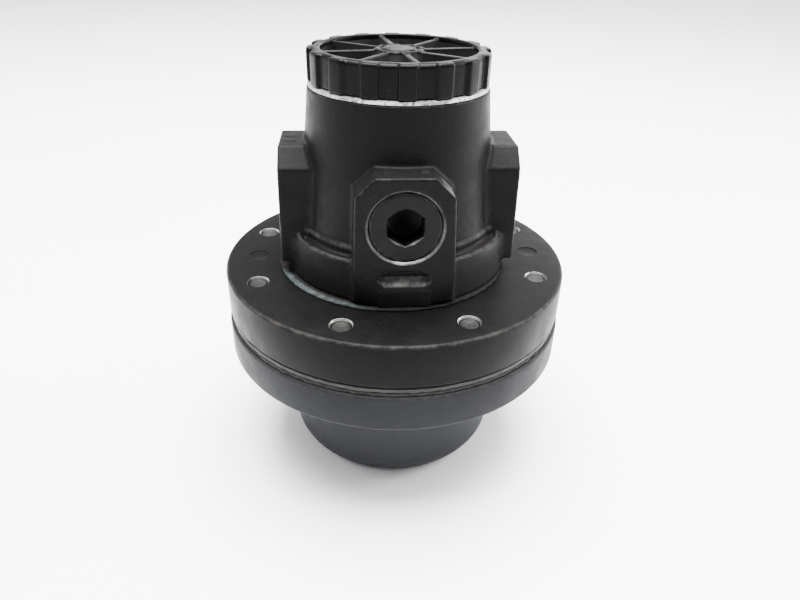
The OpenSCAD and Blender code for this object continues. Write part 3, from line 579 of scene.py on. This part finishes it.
# mask for bare machined faces of the body, which also carries painted highlights on the port mouths, the recess floors
# and one boss chamfer
def body_machined_and_highlight(P):
    x, y, z = P[:, 0], P[:, 1], P[:, 2]
    ax, ay = np.abs(x), np.abs(y)
    out = np.zeros(len(P))
    for r, w in ((np.hypot(x, z - zp), ay), (np.hypot(y, z - zp), ax)):
        out = np.maximum(out, np.clip((11.7 - r) / 0.35, 0, 1) * (w > 20) * np.clip((FACE - 0.10 - w) / 0.2, 0, 1))
    # painted highlight: the port mouth chamfers keep their full bare-metal tone only low down, where they face the
    # overhead light, and fall to 0.3 at the top
    out *= 0.30 + 0.70 * np.clip((zp - z) / 9.5, 0, 1) ** 1.2
    r = np.hypot(x, y)
    out = np.maximum(out, (r < 25.6) * np.clip((z - zr + 0.35) / 0.3, 0, 1))
    out = np.maximum(out, (r < 25) * (z > z5 + 14) * 1.0)
    inn = FACE - ay
    # painted highlight: the sloping floor of the cast recess above the pad is lightened where it faces the light
    pk = (np.abs(x) < 7.6) * (z > z5 + 7.3) * (z < z5 + 12.2) * np.clip((inn - 0.12) / 0.25, 0, 1) * np.clip((2.3 - inn) / 0.3, 0, 1) * (ay > 30)
    out = np.maximum(out, 0.40 * pk)
    # painted highlight: lighter bare-metal patch on the top-right chamfer of the front boss
    wear_and_highlight = np.clip((x - 9.2) / 2.5, 0, 1) * (x < 13.6) * (y < -29) * (z > zt - 5.0) * (x + z - zt > 7.5)
    out = np.maximum(out, 0.35 * wear_and_highlight)
    return out
body = field_piece("cast_body", f_body, (-38.5, -38.5, z6 - 0.6), (38.5, 38.5, zr + 0.8), 0.40, lightening=body_machined_and_highlight)
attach(body, "housing"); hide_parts("body"); dress(body, "body")

# ======================================================================
# ribbed bottom plug
# ======================================================================
SPOKE0 = 10.0
def f_plug(P):
    x, y, z = P[:, 0], P[:, 1], P[:, 2]
    r = np.hypot(x, y); th = np.degrees(np.arctan2(y, x)) - 1
    ph = (th % 22.5) - 22.5 * ((th % 22.5) > 11.25)
    step = 1 / (1 + np.exp((np.abs(ph) - 5.6) * 2.6))
    scoop = 0.0018 * 0
    ro = 25.35 + 1.1 * step
    # the upper edge dips a little between the lobes
    topz = cap_top - 0.05 - 0.38 * (1 - step) * np.clip((r - 24.0) / 1.2, 0, 1)
    d = smax((r - ro) * 0.86, z - topz, 0.95)
    d = smax(d, zc - z, 0.35)
    # pockets
    ins = smax(r - (22.2 + 0.04 * (z - zc)), (zc + 2.4) - z, 0.9)
    sp = ((th + 1 - SPOKE0) % 45)
    sp = np.minimum(sp, 45 - sp) * math.pi / 180
    perp = r * np.sin(sp)
    spoke = smax(perp - 0.80 - 0.05 * (cap_top - z), z - (cap_top - 0.75), 0.35)
    hub = smax((r - 6.6 - 0.28 * (cap_top - z)) * 0.963, z - (cap_top - 0.5), 0.5)
    keep = smin(spoke, hub, 1.3)
    ins = smax(ins, -keep, 0.5)
    d = smax(d, -ins, 0.55)
    # ring groove and slightly dished centre of the hub
    d = smax(d, -(np.hypot(r - 5.35, z - (cap_top - 0.35)) - 0.55), 0.2)
    d = smax(d, -(np.sqrt(r ** 2 + (z - cap_top - 24) ** 2) - 24.35), 0.1)
    # threaded hollow shank
    tb = (z / 1.5 + np.arctan2(y, x) / (2 * np.pi)) % 1.0
    sh = np.maximum((r - 22.82 + 0.45 * (1 - np.abs(tb * 2 - 1)) * (z > zr - 7.5)) * 0.85, np.maximum(zr - 12 - z, z - zc - 0.8))
    d = np.minimum(d, sh)
    d = np.maximum(d, -np.maximum(r - 18.5, z - (zr - 2)))
    d = np.maximum(d, -np.maximum(r - 7, np.maximum(zr - 3 - z, z - (zr - 0.2))))
    d = np.maximum(d, -np.maximum(20.9 - r, np.maximum(zr - 10.5 - z, z - (zr - 8.1))))
    return d

# pocket floors of the ribbed plug, marked for a lighter and rougher tone
def plug_pocket_floor_mask(P):
    r = np.hypot(P[:, 0], P[:, 1])
    return (r < 22.5) * np.clip((cap_top - 0.9 - P[:, 2]) / 0.6, 0, 1) * (P[:, 2] > zc)
plug = field_piece("ribbed_plug", f_plug, (-27.3, -27.3, zr - 12.6), (27.3, 27.3, cap_top + 0.6), 0.3, lightening=plug_pocket_floor_mask)
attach(plug, "plug"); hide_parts("bottom_plug"); dress(plug, "plug")

# bare metal ring under the head, chipped
rng = np.random.default_rng(7)
def wavy(amp_r, amp_z, seed, freq=(9, 90), sel=None):
    g = np.random.default_rng(seed)
    K = g.integers(freq[0], freq[1], 26); ph = g.uniform(0, 6.28, 26); am = g.normal(0, 1, 26) / np.sqrt(26)
    def w(P, th):
        s = sum(a * np.sin(k * th + p) for a, k, p in zip(am, K, ph))
        t = sum(a * np.cos(k * th + 2 * p) for a, k, p in zip(am, K, ph))
        for m in range(P.shape[1]):
            rr = np.hypot(P[:, m, 0], P[:, m, 1])
            if sel is not None and not sel(rr[0], P[0, m, 2]): continue
            sc = 1 + amp_r * s / np.maximum(rr, 1)
            P[:, m, 0] *= sc; P[:, m, 1] *= sc
            P[:, m, 2] += amp_z * t
        return P
    return w

ring = lathe("plug_ring", [(22.95, zr + 0.02), (26.35, zr + 0.02), (26.5, zr + 0.15), (26.45, zr + 0.55), (26.2, zr + 0.95), (25.9, zr + 1.08), (22.95, zr + 1.12)], 480,
             warp=wavy(0.16, 0.09, 3, freq=(5, 110), sel=lambda r, z: r > 25 and z > zr + 0.3))
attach(ring, "housing"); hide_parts("plug_seal_ring"); dress(ring, "alloy")

# ======================================================================
# port plugs
# ======================================================================
def f_port_plug(P):
    x, y, z = P[:, 0], P[:, 1], P[:, 2]
    q = z - zp
    w = y + (FACE - 0.45)            # 0 at the outer face, grows inwards
    r = np.hypot(x, q)
    tb = (w / 1.814 + np.arctan2(q, x) / (2 * np.pi)) % 1.0
    ro = 10.0 - 0.5 * (1 - np.abs(tb * 2 - 1)) * (w > 2.2)
    d = smax((r - ro) * 0.9, -w, 0.15)
    d = smax(d, (r - 9.42 - w) * 0.70711, 0.12)
    d = smax(d, w - 10.7, 0.2)
    # hexagon socket, corners up and down
    hx = np.maximum(np.abs(x), np.maximum(np.abs(x * 0.5 + q * 0.8660254), np.abs(x * 0.5 - q * 0.8660254))) - 5.0
    hx = smax(hx, w - 6.0, 0.3)
    cone = smax((r - 5.5 + w) * 0.70711, w - 1.5, 0.1)
    hx = smin(hx, cone, 0.15)
    drill = (r - 4.4 + (w - 6.0) * 1.7) * 0.507
    hx = np.minimum(hx, smax(drill, 5.5 - w, 0.1))
    return smax(d, -hx, 0.22)

# painted highlight and painted light on the port plugs
def port_plug_painted_highlight(P):
    r = np.hypot(P[:, 0], P[:, 2] - zp); w = P[:, 1] + FACE - 0.45
    low = np.clip((zp - 1.2 - P[:, 2]) / 2.0, 0, 1)
    # painted highlight: the lower part of the hex socket's mouth cone made bright metal, where it faces up to the light
    out = 0.7 * low * np.clip((w - 0.10) / 0.12, 0, 1) * (w < 1.1) * (r < 6.2)
    # painted light: the plug's outer edge chamfer is faintly lightened so the shaded gap to the port mouth is less dark
    return np.maximum(out, 0.16 * np.clip((r - 9.42) / 0.12, 0, 1) * (w < 1.2))
pp = field_piece("front_plug", f_port_plug, (-10.6, -FACE - 0.3, zp - 10.6), (10.6, -24.2, zp + 10.6), 0.2, lightening=port_plug_painted_highlight)
rp = bpy.data.objects.new("rear_plug", pp.data.copy()); bpy.context.scene.collection.objects.link(rp)
rp.data.transform(Matrix.Rotation(math.pi, 4, "Z"))
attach(pp, "housing"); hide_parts("front_port_plug"); dress(pp, "portplug")
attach(rp, "housing"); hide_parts("rear_port_plug"); dress(rp, "portplug")

# ======================================================================
# flanges
# ======================================================================
def holes(prof, pcr, n, a0, seg=48):
    out = []
    for i in range(n):
        c = lathe("cutter", prof, seg)
        out.append(moved(c, x=pcr, rz=math.radians(a0 + 360 * i / n)))
    return out

fl = lathe("upper_disc", [(0.0005, z4 + 9.6)] + [(9.5, z4 + 9.6), (9.5, z4 + 5), (42, z4 + 5), (42, z4), (FR - 1.2, z4)] + arc(FR - 1.1, z4 + 1.1, 1.1, -90, 0, 4) +
           arc(FR - 1.0, z5 - 1.0, 1.0, 0, 90, 6) + [(50, z5), (40, z5), (30, z5), (0.0005, z5)], 256)
c = holes([(0.0005, z4 - 1), (3.0, z4 - 1), (3.0, z5 - 0.8), (3.3, z5 - 0.12), (3.42, z5 + 0.02), (3.44, z5 + 0.5), (0.0005, z5 + 0.5)], 47, 8, 22.5, 64)
c += holes([(0.0005, z4 + 1), (4.7, z4 + 1), (4.7, z4 + 9.4), (2.8, z4 + 9.4), (2.8, z5 + 1), (0.0005, z5 + 1)], 28.5, 4, 45, 32)
c += holes([(0.0005, z4 + 1), (3.5, z4 + 1), (3.5, z5 + 1), (0.0005, z5 + 1)], 15, 4, 0, 32)
c.append(lathe("cutter", [(0.0005, z4 + 1), (6, z4 + 1), (6, z5 + 1), (0.0005, z5 + 1)], 64))
for a in (0, 77.5, 180, 257.5):
    g = lathe("cutter", [(0.0005, z5 - 0.26), (3.05, z5 - 0.26), (3.28, z5 - 0.2), (3.42, z5 + 0.02), (3.42, z5 + 0.4), (0.0005, z5 + 0.4)], 64)
    c.append(moved(g, x=45, rz=math.radians(a)))
cut(fl, c)
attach(fl, "housing"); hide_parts("upper_flange"); dress(fl, "flange")
fl.data.materials.append(M["rim"])
for p in fl.data.polygons:
    cx, cy, cz = p.center
    a = math.atan2(cy, cx) * 180 / math.pi
    k_ = round((a - 22.5) / 45) * 45 + 22.5
    rr_ = math.hypot(cx - 0.047 * math.cos(math.radians(k_)), cy - 0.047 * math.sin(math.radians(k_)))
    if rr_ < 0.00366 and cz > (z5 - 1.2) * MM and abs(p.normal.z) < 0.97:
        p.material_index = 1

bn = lathe("bonnet_casting", [(0.0005, 12), (12.5, 12), (12.5, 0.8), (13.2, 0.0), (26.8, 0.0)] + arc(26.8, 8.8, 8.8, -90, 0, 14)[1:] +
           [(35.6, 20), (35.6, z1 - 2.0)] + arc(37.6, z1 - 2.0, 2.0, 180, 90, 5)[1:] + [(45, z1), (BR - 1.8, z1)] + arc(BR - 1.5, z1 + 1.5, 1.5, -90, 0, 5)[1:] +
           [(BR, z2 - 1.1)] + arc(BR - 1.0, z2 - 1.0, 1.0, 0, 90, 5)[1:] + [(50, z2), (42, z2), (42, z1 + 6), (31.5, z1 + 2), (31.5, 11.5), (25, 6), (16.5, 6), (16.5, 20), (0.0005, 20)], 256)
c = holes([(0.0005, z1 - 1), (5.5, z1 - 1), (5.5, z1 + 6.4), (3.3, z1 + 6.4), (3.3, z2 + 1), (0.0005, z2 + 1)], 47, 8, 22.5)
c.append(lathe("cutter", [(0.0005, 11), (5.05, 11), (5.05, 21), (0.0005, 21)], 64))
vent = lathe("cutter", [(0.0005, 0), (1.5, 0), (1.5, 60), (0.0005, 60)], 32)
vent.data.transform(Matrix.Rotation(math.radians(135), 4, "Z") @ Matrix.Translation((0, 0, 0.028)) @ Matrix.Rotation(math.radians(90), 4, "Y"))
c.append(vent)
cut(bn, c)
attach(bn, "housing"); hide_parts("bonnet"); dress(bn, "bonnet")

# clamping screws: socket heads below, dull dark ends above
scr = []
for i in range(8):
    a = math.radians(22.5 + 45 * i)
    s = lathe("screw", [(0.0005, z5 - 0.80), (1.5, z5 - 0.72), (2.2, z5 - 0.55), (2.45, z5 - 0.56), (2.93, z5 - 1.05), (2.95, z5 - 1.4), (2.95, z1 + 6.4), (4.9, z1 + 6.4), (5, z1 + 6.2), (5, z1 + 0.9),
                        (4.5, z1 + 0.42), (2.9, z1 + 0.4), (2.6, z1 + 0.9), (2.5, z1 + 3.6), (0.0005, z1 + 4.4)], 40)
    scr.append(moved(s, x=47, rz=a))
sc = joined(scr, "clamping_screws")
sc.data.set_sharp_from_angle(angle=math.radians(30))
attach(sc, "housing"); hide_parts("flange_screws"); dress(sc, "zinc")
sc.data.materials.append(M["screw_end"])
for p in sc.data.polygons:
    if p.center.z > (z5 - 2) * MM:
        p.material_index = 1

# gaskets
def flat_ring(name, ri, ro, za, zb, seed, amp=0.12, seg=512):
    return lathe(name, [(ri, za), (ro - 0.25, za), (ro, (za * 2 + zb) / 3), (ro, (za + zb * 2) / 3), (ro - 0.2, zb), (ri, zb)], seg,
                 warp=wavy(amp, 0.0, seed, sel=lambda r, z: r > ro - 1))
bg = flat_ring("skirt_gasket", 21, 36.7, z5 + 0.01, z6 - 0.01, 11, 0.1)
for v in bg.data.vertices:
    if math.hypot(v.co.x, v.co.y) > 0.030: v.co.x -= 0.0012; v.co.y -= 0.0009
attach(bg, "housing"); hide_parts("body_gasket"); dress(bg, "gasket")
fg = flat_ring("seam_gasket", 42.2, 54.75, z2 + 0.01, z3 - 0.01, 5, 0.12)
c = holes([(0.0005, z2 - 1), (3.3, z2 - 1), (3.3, z3 + 1), (0.0005, z3 + 1)], 47, 8, 22.5, 32)
cut(fg, c)
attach(fg, "housing"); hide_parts("flange_gasket"); dress(fg, "gasket2")

# coil springs and a rolling diaphragm, made as fixed meshes
def coil(name, rm, rw, za, zb, turns, seg=40, sides=14):
    n = int((turns + 2) * seg)
    lo_, hi_ = za + rw, zb - rw
    V, F = [], []
    for i in range(n + 1):
        t = i * (turns + 2) / n
        a = 2 * math.pi * t
        if t < 1: z = lo_ + t * 2.05 * rw
        elif t > turns + 1: z = hi_ - (turns + 2 - t) * 2.05 * rw
        else: z = lo_ + 2.05 * rw + (t - 1) / turns * (hi_ - lo_ - 4.1 * rw)
        end = min(t, turns + 2 - t)
        for k_ in range(sides):
            b = 2 * math.pi * k_ / sides
            V.append(((rm + rw * math.cos(b)) * math.cos(a), (rm + rw * math.cos(b)) * math.sin(a), z + rw * math.sin(b)))
    for i in range(n):
        for k_ in range(sides):
            l = (k_ + 1) % sides
            F.append((i * sides + k_, i * sides + l, (i + 1) * sides + l, (i + 1) * sides + k_))
    F.append(tuple(range(sides))[::-1]); F.append(tuple(n * sides + q for q in range(sides)))
    ob = to_object(name, V, F)
    bm = bmesh.new(); bm.from_mesh(ob.data); bmesh.ops.recalc_face_normals(bm, faces=bm.faces); bm.to_mesh(ob.data); bm.free()
    ob.data.polygons.foreach_set("use_smooth", [True] * len(ob.data.polygons))
    ob.data.set_sharp_from_angle(angle=math.radians(40))
    return ob

rs = coil("range_coil", 20.4, 1.6, 28, z3 - 2, 3)
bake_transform(rs)
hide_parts("range_spring"); dress(rs, "spring")
vs = coil("valve_coil", 8.2, 0.8, seat + 5.62, seat + 18.2, 4, 32)
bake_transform(vs)
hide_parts("valve_spring"); dress(vs, "spring")

dp = lathe("rolling_diaphragm", [(5, z3), (33.4, z3), (33.9, z3 - 2)] + arc(37.4, z3 - 2, 3.5, 180, 360, 16) + [(41.4, z3), (FR - 0.8, z3), (FR - 0.35, z3 + 0.4), (FR - 0.37, z4 - 0.4), (FR - 0.8, z4), (39.3, z4), (39.3, z3 - 2)] +
           arc(37.4, z3 - 2, 1.9, 360, 180, 16) + [(35.5, z4), (5, z4)], 384, warp=wavy(0.10, 0.0, 21, sel=lambda r, z: r > 53))
cut(dp, holes([(0.0005, z3 - 1), (3.3, z3 - 1), (3.3, z4 + 1), (0.0005, z4 + 1)], 47, 8, 22.5, 32))
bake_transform(dp)
cv = np.empty(len(dp.data.vertices) * 3, np.float32); dp.data.vertices.foreach_get("co", cv)
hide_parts("diaphragm"); dress(dp, "diaphragm")

# ======================================================================
# stage, light and camera
# ======================================================================
me = bpy.data.meshes.new("floor")
me.from_pydata([(-3, -3, 0), (3, -3, 0), (3, 3, 0), (-3, 3, 0)], [], [(0, 1, 2, 3)])
floor = bpy.data.objects.new("floor", me); bpy.context.scene.collection.objects.link(floor)
fm = Mat("floor_white")
floor.data.materials.append(fm.out(fm.ramp(fm.noise(6, 2), [(0.3, (0.86, 0.865, 0.875)), (0.7, (0.89, 0.892, 0.90))]), 0.6, None, 0.0))

def area(name, loc, target, size, power, color=(1, 1, 1)):
    l = bpy.data.lights.new(name, "AREA"); l.shape = "RECTANGLE"; l.size, l.size_y = size; l.energy = power; l.color = color
    o = bpy.data.objects.new(name, l); bpy.context.scene.collection.objects.link(o)
    o.location = loc
    o.rotation_euler = (Vector(target) - Vector(loc)).to_track_quat("-Z", "Y").to_euler()
    return o
area("top", (0.0, 0.08, 0.98), (0, 0.08, 0.0), (0.8, 0.8), 102)
area("left", (-0.75, 0.20, 0.36), (0, 0.0, 0.09), (0.25, 0.5), 2.6, (0.98, 0.99, 1))
area("right", (0.75, 0.10, 0.38), (0, 0.0, 0.09), (0.3, 0.6), 10.5)

w = bpy.data.worlds.new("studio"); bpy.context.scene.world = w; w.use_nodes = True
wt = w.node_tree; wn = wt.nodes; wl = wt.links
bg_ = wn["Background"]; bg_.inputs["Color"].default_value = (0.97, 0.98, 1.0, 1)
wtc = wn.new("ShaderNodeTexCoord"); wx = wn.new("ShaderNodeSeparateXYZ"); wl.new(wtc.outputs["Generated"], wx.inputs[0])
def wmap(src, a, b, c, d):
    x = wn.new("ShaderNodeMapRange"); x.clamp = True; x.interpolation_type = "SMOOTHSTEP"
    wl.new(src, x.inputs["Value"])
    for k_, q in zip(("From Min", "From Max", "To Min", "To Max"), (a, b, c, d)): x.inputs[k_].default_value = q
    return x.outputs["Result"]
def wmath(op, a, b):
    x = wn.new("ShaderNodeMath"); x.operation = op
    for i_, v in enumerate((a, b)):
        if isinstance(v, (int, float)): x.inputs[i_].default_value = v
        else: wl.new(v, x.inputs[i_])
    return x.outputs[0]
X, Y, Z = wx.outputs
# a light tent: bright overhead, behind and at the sides, open and darker towards the front
sky = wmath("MULTIPLY", wmap(Z, 0.5, 0.95, 0.0, 3.5), wmap(Y, -0.9, -0.3, 0.7, 1.0))
back = wmath("MULTIPLY", wmap(Y, 0.0, 0.8, 0.06, 1.0), wmap(Z, 0.12, 0.42, 3.2, 0.25))
side = wmath("MULTIPLY", wmath("ADD", wmap(X, 0.35, 0.95, 0.0, 1.35), wmap(X, -0.35, -0.95, 0.0, 0.6)), wmap(Y, -0.7, 0.0, 0.2, 1.0))
lobe = wmath("ADD", wmath("ADD", wmath("MULTIPLY", X, 0.50), wmath("MULTIPLY", Y, 0.82)), wmath("MULTIPLY", Z, 0.28))
lobe = wmap(lobe, 0.86, 1.0, 0.0, 4.2)
wl.new(wmath("ADD", wmath("ADD", wmath("ADD", sky, back), side), lobe), bg_.inputs["Strength"])

cam = bpy.data.cameras.new("camera"); cam.sensor_width = 36; cam.lens = 646.38 * 36 / 800
co = bpy.data.objects.new("camera", cam); bpy.context.scene.collection.objects.link(co)
pitch, yaw, roll = 0.53673, 0.08758, 0.02549
fw = Vector((math.sin(yaw) * math.cos(pitch), math.cos(yaw) * math.cos(pitch), -math.sin(pitch)))
rt = fw.cross(Vector((0, 0, 1))).normalized(); up = rt.cross(fw)
rt2 = rt * math.cos(roll) + up * math.sin(roll); up2 = up * math.cos(roll) - rt * math.sin(roll)
rot = Matrix((rt2, up2, -fw)).transposed()
co.matrix_world = Matrix.Translation((-0.015003, -0.193949, 0.165941)) @ rot.to_4x4()
bpy.context.scene.camera = co

bpy.context.view_layer.update()
